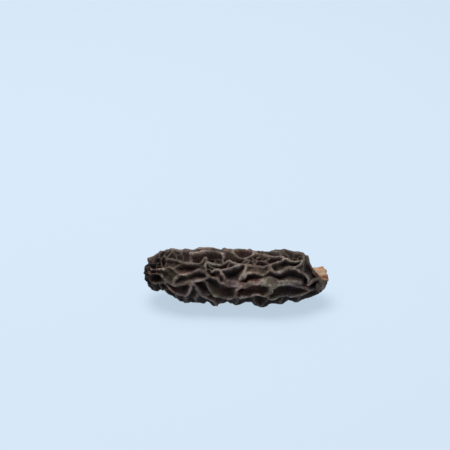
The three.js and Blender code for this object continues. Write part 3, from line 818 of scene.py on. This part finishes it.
@dataclass(frozen=True)
class FleshFinish:
    """Dry matte flesh: dark brown pits, darkened further as painted shade, paler grey-brown crests, a tan
    stem.
    """

    pit: tuple = (0.0092, 0.0047, 0.0042)
    low_wall: tuple = (0.0200, 0.0108, 0.0086)
    high_wall: tuple = (0.0375, 0.0233, 0.0176)
    crest: tuple = (0.101, 0.0755, 0.062)
    crest_edge: tuple = (0.232, 0.184, 0.158)
    heights: tuple = (0.0, 0.35, 0.66, 0.86, 1.0)
    olive: tuple = (0.92, 1.12, 0.74)
    plum: tuple = (1.06, 0.82, 1.28)
    rust: tuple = (1.60, 0.84, 0.70)
    stem_dark: tuple = (0.16, 0.085, 0.045)
    stem_peach: tuple = (0.395, 0.188, 0.098)
    stem_yellow: tuple = (0.385, 0.278, 0.182)
    roughness: float = 0.82
    gloss: float = 0.25
    mottle: Texture = Texture(900.0, 5.0)
    mottle_range: tuple = (0.25, 0.75)
    mottle_spread: float = 0.10
    yellowing: Texture = Texture(330.0, 2.0, 6.0)
    yellow_range: tuple = (0.47, 0.62)
    streaks: Texture = Texture(520.0, 4.0, 4.0)
    streak_range: tuple = (0.48, 0.64)
    streak_strength: float = 0.8
    speckle: Texture = Texture(1500.0, 4.0, 2.0)
    speckle_range: tuple = (0.3, 0.7)
    speckle_shades: tuple = (0.70, 1.30)
    wrinkles: Texture = Texture(800.0, 3.0, 1.0)
    wrinkle_depth: float = 0.00045
    grain: Texture = Texture(2600.0, 5.0)
    grain_depth: float = 0.00016
    relief_strength: float = 0.7

    def material(self) -> bpy.types.Material:
        """Builds the flesh material.

        Returns:
            A material driven by the mesh's crest, stem, shade and stain attributes.
        """
        made = bpy.data.materials.new("morel_flesh")
        made.use_nodes = True
        paint = Painter(made.node_tree)
        paint.tree.nodes.clear()
        shader = paint.node("ShaderNodeBsdfPrincipled")
        paint.feed(shader, "Roughness", self.roughness)
        paint.feed(shader, "Specular IOR Level", self.gloss)
        paint.feed(shader, "Base Color", self.colour(paint))
        paint.feed(shader, "Normal", self.fine_relief(paint))
        paint.feed(paint.node("ShaderNodeOutputMaterial"), "Surface", shader.outputs["BSDF"])
        return made

    def colour(self, paint: Painter) -> Socket:
        """Colours the flesh by its height, darkening the pits with painted shade, by its stains, and by
        whether it is cap or stem.

        Args:
            paint: lays out the material's nodes.

        Returns:
            The colour of each place.
        """
        spread = (-self.mottle_spread, self.mottle_spread)
        mottle = paint.remap(paint.noise(self.mottle), self.mottle_range, spread)
        # Painted shade: the pit and low wall colours that low heights get stand in for the shade deep in
        # the pits, as well as the flesh's own dark colour there.
        flesh = (self.pit, self.low_wall, self.high_wall, self.crest, self.crest_edge)
        height = paint.summed(paint.attribute("crest"), mottle)
        colour = paint.ramp(height, tuple(zip(self.heights, flesh)))
        for stain, tint in ((Stain.OLIVE, self.olive), (Stain.PLUM, self.plum), (Stain.RUST, self.rust)):
            colour = paint.mixed(colour, tint, paint.attribute(stain.value), "MULTIPLY")
        colour = paint.mixed(colour, self.stem_colour(paint), paint.attribute("stem"))
        # Painted shade and tone: the shade attribute darkens the underside, the deep hollow and some
        # patches, and varies the tone at random.
        colour = paint.shaded(colour, paint.attribute("shade"))
        speckle = paint.remap(paint.noise(self.speckle), self.speckle_range, self.speckle_shades)
        return paint.shaded(colour, speckle)

    def stem_colour(self, paint: Painter) -> Socket:
        """Colours the stem in peach and yellow, with dark streaks.

        Args:
            paint: lays out the material's nodes.

        Returns:
            The colour of each place.
        """
        yellowing = paint.remap(paint.noise(self.yellowing), self.yellow_range, (0.0, 1.0))
        strength = (0.0, self.streak_strength)
        streaks = paint.remap(paint.noise(self.streaks), self.streak_range, strength)
        fresh = paint.mixed(self.stem_peach, self.stem_yellow, yellowing)
        return paint.mixed(fresh, self.stem_dark, streaks)

    def fine_relief(self, paint: Painter) -> Socket:
        """Lays a fine grain over coarser wrinkles.

        Args:
            paint: lays out the material's nodes.

        Returns:
            The direction that each place faces.
        """
        wrinkles = paint.bump(paint.noise(self.wrinkles), self.wrinkle_depth, self.relief_strength)
        grain = paint.bump(paint.noise(self.grain), self.grain_depth, self.relief_strength)
        paint.feed(grain, "Normal", wrinkles.outputs["Normal"])
        return grain.outputs["Normal"]


@dataclass
class Skin:
    """How the outside of the cap and stem is roughened: lengths in mm, the rest as shares."""

    pit_depth: float = 3.1
    pit_share: float = 0.36
    lean_reach: float = 0.95
    crest_fade: float = 0.16
    ridge_sway: float = 0.32
    fold_sway: float = 0.6
    fold_height: float = 0.34
    fold_onset: float = 0.55
    fold_span: float = 0.45
    fold_top: float = 0.7
    # Painted shade on the underside: how much darker the flesh is where it faces down, where that starts
    # and how far it runs.
    belly_painted_shade: float = 0.45
    belly_start: float = 0.1
    belly_run: float = 0.8
    tip_slender: float = 0.7
    slender_end: Fade = Fade(3.0, 7.0)
    floor_start: Fade = Fade(-1.0, 2.6)
    knob_start: Fade = Fade(0.0, 0.8)
    knob_end: Fade = Fade(8.0, 8.0)
    swell_start: Fade = Fade(0.0, 4.0)
    lump_start: Fade = Fade(0.0, 2.0)
    fold_start: Fade = Fade(0.0, 4.0)
    lean_start: Fade = Fade(0.0, 6.0)
    sway: tuple = (Lumps(11, 3.0, 1.0, 3), Lumps(12, 3.0, 1.0, 3), Lumps(13, 3.0, 1.0, 3))
    lean: tuple = (Lumps(31, 6.5), Lumps(32, 6.5), Lumps(33, 6.5))
    faint: Lumps = Lumps(17, 2.2, 0.9)
    width: Lumps = Lumps(18, 1.8, 0.2, 2)
    tip_knobs: Lumps = Lumps(19, 1.7, 0.6, 2)
    slenderness: Lumps = Lumps(20, 5.0, 0.3)
    lumps: Lumps = Lumps(21, 1.6, 0.10, 3)
    ribs: Lumps = Lumps(22, 0.75, 0.16)
    deepening: Lumps = Lumps(23, 7.0, 0.15)
    swell: Lumps = Lumps(24, 6.0, 0.22)
    folds: Lumps = Lumps(25, 1.7, 1.0, 2)
    gathers: Lumps = Lumps(44, 1.5, 0.55, 2)
    gather_circle: float = 8.0
    shading: Lumps = Lumps(51, 5.0, 0.18, 2)
    stain_size: float = 3.2
    stain_contrast: float = 1.6
    stain_scatter: float = 0.5
    stain_onset: float = 0.45
    stain_ease: float = 0.5
    stain_crest_loss: float = 0.68


@dataclass
class Morel:
    """The whole mushroom: pitted cap, stem stub and hollow, as one closed skin."""

    outline: Outline
    network: RidgeNetwork
    finish: FleshFinish
    rough: Skin = field(default_factory=Skin)
    rows: int = 350
    columns: int = 256
    cavity_rows: int = 24
    tip_crowding: float = 0.85
    tip_crowding_share: float = 0.03
    wall: float = 1.3
    mouth_radius: float = 3.2
    mouth_start: float = 60.0
    mouth_run: float = 6.0
    cavity_start: float = 7.0
    blind_run: float = 12.0
    spine_start: float = 7.5
    stem_circle: float = 3.6
    torn_run: float = 3.0
    tear: Lumps = Lumps(43, 1.1, 1.0, 2)
    rim_tear: float = 0.7
    stem_folds: Lumps = Lumps(41, 1.5, 0.34, 3)
    stem_stretch: float = 0.35
    stem_curl: Lumps = Lumps(42, 2.4, 0.5)
    curl_stretch: tuple = (0.4, 1, 1)
    curl_start: Fade = Fade(61.5, 4.0)
    warts: Lumps = Lumps(45, 1.8, 0.25, 2)
    crinkle_start: float = 0.1
    crinkle_range: tuple = (-0.25, 0.6)
    # Painted shade in the hollow: darkest deep inside, fading out towards the mouth.
    inside_painted_shade: float = 0.75
    inside_shade_fade: Fade = Fade(50.0, 12.0)
    floor_cut: float = 0.55
    sheet_height: float = 0.84
    strip_start: float = 0.86
    strip_height: float = 0.13
    sheet_edge: float = 0.005

    def build(self) -> bpy.types.Object:
        """Makes the mushroom.

        Returns:
            The dressed object, in place, in metres.
        """
        share = np.arange(1, self.rows + 1) / self.rows
        crowding = 1.0 - self.tip_crowding * np.exp(-share / self.tip_crowding_share)
        outer = self.skin(LENGTH * share * crowding)
        steps = np.arange(self.cavity_rows, 0, -1)
        inner = self.hollow(self.cavity_start + (LENGTH - self.cavity_start) * steps / self.cavity_rows)
        tip = outer["places"][: self.columns].mean(axis=0, keepdims=True)
        blind = self.outline.middle(np.array([self.cavity_start]))
        places = self.settle(np.concatenate([tip, outer["places"], inner["places"], blind]))
        mesh = bpy.data.meshes.new("morel_flesh")
        mesh.from_pydata((places * MM).tolist(), [], self.faces())
        for name in ("crest", "stem", "shade", *(stain.value for stain in Stain)):
            first = outer[name][:1] if name != "stem" else np.zeros(1)
            values = np.concatenate([first, outer[name], inner[name], inner[name][-1:]])
            layer = mesh.attributes.new(name, "FLOAT", "POINT")
            layer.data.foreach_set("value", values.astype(np.float32))
        self.unwrap(mesh)
        mesh.shade_smooth()
        mesh.materials.append(self.finish.material())
        made = bpy.data.objects.new("morel_flesh", mesh)
        bpy.context.scene.collection.objects.link(made)
        return made

    def grid(self, rings: np.ndarray) -> tuple[np.ndarray, np.ndarray]:
        """Every spot of a stack of rings, ring after ring, with the torn rim standing back.

        Args:
            rings: how far along each ring is, in mm.

        Returns:
            How far along each spot is in mm, and how far round in degrees.
        """
        turns = np.arange(self.columns) * 360.0 / self.columns
        along, round_ = (spots.ravel() for spots in np.meshgrid(rings, turns, indexing="ij"))
        from_rim_start = np.where(round_ > RIM[-1, 0], round_ - 360.0, round_)
        ragged = 0.5 + 0.5 * self.tear.at(on_circle(round_, self.stem_circle))
        torn = read_table(RIM, from_rim_start, 1) + self.rim_tear * ragged
        return along - torn * Fade(LENGTH - self.torn_run, self.torn_run).at(along), round_

    def skin(self, rings: np.ndarray) -> dict[str, np.ndarray]:
        """The pitted outside.

        Args:
            rings: how far along each ring is, in mm.

        Returns:
            The places in mm and the attributes, by name.
        """
        rough = self.rough
        along, round_ = self.grid(rings)
        crest = self.outline.crest(along, round_)
        warp = np.stack([sway.at(crest) for sway in rough.sway], axis=1)
        height, travel = self.heights(crest, warp, along)
        on_wall = 4.0 * height * (1.0 - height)
        stem = self.outline.stem_share(along, round_)
        inward = self.outline.middle(np.clip(along, self.spine_start, LENGTH)) - crest
        reach = np.linalg.norm(inward, axis=1, keepdims=True)
        inward /= reach
        floor = np.minimum(rough.pit_depth, reach[:, 0] * rough.pit_share)
        floor *= rough.floor_start.at(along)
        floor *= 1.0 + rough.deepening.at(crest)
        depth = (1.0 - height) * floor
        depth += rough.ribs.at(np.stack([travel, 0 * travel, 0 * travel], axis=1)) * on_wall
        depth += rough.tip_knobs.at(crest) * rough.knob_start.at(along) * (1.0 - rough.knob_end.at(along))
        depth += self.spread(crest, DENTS)
        depth += rough.swell.at(crest) * rough.swell_start.at(along)
        depth += rough.lumps.at(crest - inward * depth[:, None]) * rough.lump_start.at(along)
        depth -= self.pit_folds(crest, warp, height) * rough.fold_start.at(along)
        depth *= 1.0 - stem
        depth += stem * self.stem_wrinkles(along, round_)
        gathers = rough.gathers.at(on_circle(round_, rough.gather_circle))
        depth += gathers * 4.0 * stem * (1.0 - stem)

        side = np.stack([lean.at(crest) for lean in rough.lean], axis=1)
        side -= inward * np.sum(side * inward, axis=1, keepdims=True)
        curl = np.clip(height, 0.0, 1.0) ** 2 * (1.0 - stem) * rough.lean_start.at(along)
        # Painted shade: the flesh is darkened towards the underside, more the further it faces down.
        belly = smooth((-np.sin(np.radians(round_)) - rough.belly_start) / rough.belly_run)
        shade = 1.0 + self.spread(crest, TONE_AND_PAINTED_SHADE) - rough.belly_painted_shade * belly
        shade *= 1.0 + rough.shading.at(crest)
        return {
            "places": crest + inward * depth[:, None] + rough.lean_reach * side * curl[:, None],
            "crest": np.clip(height, 0.0, 1.2) * (1.0 - stem) + stem,
            "stem": stem,
            "shade": shade,
            **self.stains(crest, height),
        }

    def heights(
        self, crest: np.ndarray, warp: np.ndarray, along: np.ndarray
    ) -> tuple[np.ndarray, np.ndarray]:
        """The relief of the ridges, with pit floors and crests made uneven.

        Args:
            crest: spots on the smooth skin, one row each, in mm.
            warp: how the ridges sway from their lines there.
            along: how far along each spot is, in mm.

        Returns:
            The height, 1 on a crest and 0 on a pit floor, and a travel along the nearest ridge in mm.
        """
        stretch = 1.0 + self.rough.tip_slender * (1.0 - self.rough.slender_end.at(along))
        stretch = stretch + self.rough.slenderness.at(crest)
        swayed = crest + self.rough.ridge_sway * warp
        height, travel = self.network.relief(swayed, self.rough.width.at(crest), stretch)
        height = height + self.spread(crest, SHALLOWS) * (1.0 - smooth(height))
        height = height - self.spread(crest, DEEPS) * (1.0 - smooth(height))
        height *= 1.0 - self.rough.crest_fade * smooth(0.5 + self.rough.faint.at(crest))
        return height, travel

    def pit_folds(self, crest: np.ndarray, warp: np.ndarray, height: np.ndarray) -> np.ndarray:
        """Narrow folds on the pit floors.

        Args:
            crest: spots on the smooth skin, one row each, in mm.
            warp: how the folds sway there.
            height: how high the flesh stands, 1 on a crest and 0 on a pit floor.

        Returns:
            How far each spot is raised, in mm.
        """
        folds = 1.0 - np.abs(self.rough.folds.at(crest + self.rough.fold_sway * warp))
        past_onset = np.clip(folds - self.rough.fold_onset, 0.0, 1.0)
        risen = self.rough.fold_height * past_onset / self.rough.fold_span
        return risen * (1.0 - smooth(height / self.rough.fold_top))

    def stains(self, crest: np.ndarray, height: np.ndarray) -> dict[str, np.ndarray]:
        """How strongly each tint shows, each taking its share of what the last has left free.

        Args:
            crest: spots on the smooth skin, one row each, in mm.
            height: how high the flesh stands, 1 on a crest and 0 on a pit floor.

        Returns:
            The amount at each spot, from 0 to 1, by the tint's attribute name.
        """
        rough = self.rough
        free = 1.0 - rough.stain_crest_loss * smooth((height - rough.stain_onset) / rough.stain_ease)
        amounts = {}
        for stain, spots in STAINS.items():
            patches = Lumps(STAIN_SEEDS[stain], rough.stain_size, rough.stain_contrast, 2)
            scattered = rough.stain_scatter * smooth(patches.at(crest))
            amount = np.clip(self.spread(crest, spots) + scattered, 0.0, 1.0) * free
            amounts[stain.value] = amount
            free = free - amount
        return amounts

    def spread(self, crest: np.ndarray, spots: tuple) -> np.ndarray:
        """Adds up soft round patches.

        Args:
            crest: places on the smooth skin, one row each, in mm.
            spots: each patch as how far along, how far round, its reach in mm and its strength.

        Returns:
            The patches' total strength at each place.
        """
        total = np.zeros(len(crest))
        for along, round_, reach, strength in spots:
            centre = self.outline.crest(np.array([along], float), np.array([round_], float))
            total += strength * np.exp(-np.sum((crest - centre) ** 2, axis=1) / reach**2)
        return total

    def stem_wrinkles(self, along: np.ndarray, round_: np.ndarray) -> np.ndarray:
        """Fine folds that run down the stem, and the curl of its torn end.

        Args:
            along: how far along each spot is, in mm.
            round_: how far round it is, in degrees.

        Returns:
            How far each spot sinks, in mm.
        """
        places = on_circle(round_, self.stem_circle)
        places[:, 0] = along * self.stem_stretch
        curl = self.stem_curl.at(places * self.curl_stretch) * self.curl_start.at(along)
        return self.stem_folds.at(places) + curl

    def hollow(self, rings: np.ndarray) -> dict[str, np.ndarray]:
        """The inside wall.

        Args:
            rings: how far along each ring is, in mm.

        Returns:
            The places in mm and the attributes, by name.
        """
        along, round_ = self.grid(rings)
        in_cap = np.maximum(read_table(SECTIONS, along, 1) - self.rough.pit_depth - self.wall, 0.0)
        to_mouth = Fade(self.mouth_start - self.mouth_run, self.mouth_run).at(along)
        blind_end = np.sqrt(Fade(self.cavity_start, self.blind_run).at(along))
        radius = (in_cap * (1.0 - to_mouth) + self.mouth_radius * to_mouth) * blind_end
        inside = on_circle(round_, 1.0) * radius[:, None]
        inside[:, 0] = along
        radius += self.warts.at(inside) * (1.0 - to_mouth) * blind_end
        crinkle = self.stem_wrinkles(along, round_) * to_mouth
        radius -= np.clip(crinkle - self.crinkle_start, *self.crinkle_range)
        ones = np.ones(len(along))
        return {
            "places": self.outline.middle(along) + self.outline.offset(radius, round_, to_mouth),
            "crest": ones,
            "stem": ones,
            # Painted shade, darker the deeper inside the hollow.
            "shade": 1.0 - self.inside_painted_shade * (1.0 - self.inside_shade_fade.at(along)),
            **{stain.value: 0.0 * ones for stain in Stain},
        }

    def settle(self, places: np.ndarray) -> np.ndarray:
        """Puts the mushroom where the solid model lies and presses its lowest crests flat on the table.

        Args:
            places: every vertex's place along the mushroom's own middle, in mm.

        Returns:
            Their places on the table, in mm.
        """
        low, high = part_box("morel")
        middle = (low.y + high.y) / 2.0 / MM
        moved = places.copy()
        moved[:, 0] -= LENGTH / 2.0
        moved[:, 1] += middle - (places[:, 1].min() + places[:, 1].max()) / 2.0
        moved[:, 2] -= places[:, 2].min() + self.floor_cut
        moved[:, 2] = np.maximum(moved[:, 2], 0.0)
        return moved

    def faces(self) -> list[tuple[int, ...]]:
        """Joins the rings into a closed skin: the tip, the outside, the rim, the inside and its blind end.

        Returns:
            The vertex numbers of each face.
        """
        columns = self.columns
        here = np.arange(columns)
        following = (here + 1) % columns
        total_rows = self.rows + self.cavity_rows
        made: list[tuple[int, ...]] = [(0, int(1 + a), int(1 + b)) for a, b in zip(here, following)]
        for row in range(total_rows - 1):
            first = 1 + row * columns
            second = first + columns
            quads = np.stack([first + here, second + here, second + following, first + following], axis=1)
            made.extend(map(tuple, quads.tolist()))
        last = 1 + (total_rows - 1) * columns
        end = last + columns
        made.extend((int(end), int(last + b), int(last + a)) for a, b in zip(here, following))
        return made

    def unwrap(self, mesh: bpy.types.Mesh) -> None:
        """Lays the skin out flat: the outside in one sheet, the inside in a strip beside it.

        Args:
            mesh: the mushroom's mesh, which gets the layout.
        """
        columns = self.columns
        count = len(mesh.vertices)
        index = np.arange(count)
        row = np.clip((index - 1) // columns, 0, self.rows + self.cavity_rows - 1)
        column = (index - 1) % columns
        in_sheet = self.sheet_height * (row + 1) / self.rows
        in_strip = self.strip_start + self.strip_height * (row - self.rows + 1) / self.cavity_rows
        upright = np.where(row < self.rows, in_sheet, in_strip)
        upright[0] = 0.0
        loops = np.empty(len(mesh.loops), dtype=np.int32)
        mesh.loops.foreach_get("vertex_index", loops)
        starts = np.empty(len(mesh.polygons), dtype=np.int32)
        totals = np.empty(len(mesh.polygons), dtype=np.int32)
        mesh.polygons.foreach_get("loop_start", starts)
        mesh.polygons.foreach_get("loop_total", totals)
        face = np.repeat(np.arange(len(starts)), totals)
        across = column[loops].astype(float)
        late = np.zeros(len(starts))
        np.maximum.at(late, face, np.where(column[loops] > columns * 0.75, 1.0, 0.0))
        across = np.where((late[face] > 0) & (across < columns * 0.25), across + columns, across)
        poles = (loops == 0) | (loops == count - 1)
        both = np.zeros(len(starts))
        np.add.at(both, face, np.where(poles, 0.0, across))
        across = np.where(poles, both[face] / 2.0, across)
        edge = self.sheet_edge
        inner = 1.0 - 2.0 * edge
        flat = np.stack([edge + inner * across / columns, edge + inner * upright[loops]], axis=1)
        layer = mesh.uv_layers.new(name="OFBake")
        layer.data.foreach_set("uv", flat.ravel().astype(np.float32))


@dataclass
class Studio:
    """The pale table, the soft light and the camera."""

    floor_size: float = 6.0
    floor_colour: tuple = (0.17, 0.19, 0.21)
    floor_glow: tuple = (0.478, 0.583, 0.688)
    floor_roughness: float = 0.9
    wall_colour: tuple = (0.62, 0.74, 0.87)
    ceiling_colour: tuple = (0.24, 0.25, 0.26)
    wall_top: tuple = (0.12, 0.34)
    lamp_place: tuple = (-0.12, 0.12, 0.7)
    lamp_size: float = 0.45
    lamp_power: float = 5.6
    elevation: float = 30.0
    distance: float = 0.6
    lens: float = 135.3
    sensor_width: float = 36.0
    aim: tuple = (-0.00383, 0.0, 0.0102)
    aim_raise: float = 0.01773

    def build(self) -> None:
        """Sets up the table, the light and the camera."""
        self.table()
        self.light()
        self.camera()

    def table(self) -> None:
        """A wide plain light table, faintly lit from within so that shadows stay faint."""
        bpy.ops.mesh.primitive_plane_add(size=self.floor_size, location=(0, 0, 0))
        floor = bpy.context.object
        floor.name = "table_top"
        made = bpy.data.materials.new("table_top")
        made.use_nodes = True
        shader = made.node_tree.nodes["Principled BSDF"]
        shader.inputs["Base Color"].default_value = (*self.floor_colour, 1.0)
        shader.inputs["Roughness"].default_value = self.floor_roughness
        shader.inputs["Specular IOR Level"].default_value = 0.0
        shader.inputs["Emission Color"].default_value = (*self.floor_glow, 1.0)
        shader.inputs["Emission Strength"].default_value = 1.0
        floor.data.materials.append(made)

    def light(self) -> None:
        """A pale wall all round under a dim ceiling, and one large soft lamp overhead."""
        world = bpy.data.worlds.new("surround")
        bpy.context.scene.world = world
        world.use_nodes = True
        paint = Painter(world.node_tree)
        background = world.node_tree.nodes["Background"]
        paint.feed(background, "Strength", 1.0)
        parts = paint.node("ShaderNodeSeparateXYZ")
        paint.feed(parts, "Vector", paint.node("ShaderNodeTexCoord").outputs["Generated"])
        height = paint.remap(parts.outputs["Z"], self.wall_top, (0.0, 1.0), "SMOOTHSTEP")
        paint.feed(background, "Color", paint.mixed(self.wall_colour, self.ceiling_colour, height))
        self.lamp("overhead")

    def lamp(self, name: str) -> None:
        """Hangs the square soft lamp, facing the mushroom.

        Args:
            name: what the lamp is called.
        """
        data = bpy.data.lights.new(name, "AREA")
        data.shape = "SQUARE"
        data.size = self.lamp_size
        data.energy = self.lamp_power
        made = bpy.data.objects.new(name, data)
        made.location = self.lamp_place
        towards = Vector((0, 0, 0.01)) - Vector(self.lamp_place)
        made.rotation_euler = towards.to_track_quat("-Z", "Y").to_euler()
        bpy.context.scene.collection.objects.link(made)

    def camera(self) -> None:
        """Looks down on the mushroom from the front."""
        slope = math.radians(self.elevation)
        forward = Vector((0, math.cos(slope), -math.sin(slope)))
        upward = Vector((0, math.sin(slope), math.cos(slope)))
        data = bpy.data.cameras.new("camera")
        data.lens = self.lens
        data.sensor_width = self.sensor_width
        made = bpy.data.objects.new("camera", data)
        made.location = Vector(self.aim) + upward * self.aim_raise - forward * self.distance
        made.rotation_euler = forward.to_track_quat("-Z", "Y").to_euler()
        bpy.context.scene.collection.objects.link(made)
        bpy.context.scene.camera = made


def main() -> None:
    """Builds the mushroom and the studio, and logs how many ridges and faces the mushroom has."""
    logging.basicConfig(level=logging.INFO)
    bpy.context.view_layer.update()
    outline = Outline()
    network = RidgeNetwork(outline)
    network.build()
    log.info("ridges: %d", len(network.ridges))
    morel = Morel(outline, network, FleshFinish()).build()
    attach(morel, "root")
    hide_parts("morel")
    log.info("morel_flesh: %d faces", len(morel.data.polygons))
    Studio().build()
    bpy.context.scene.view_settings.view_transform = "Standard"


if __name__ == "__main__":
    main()
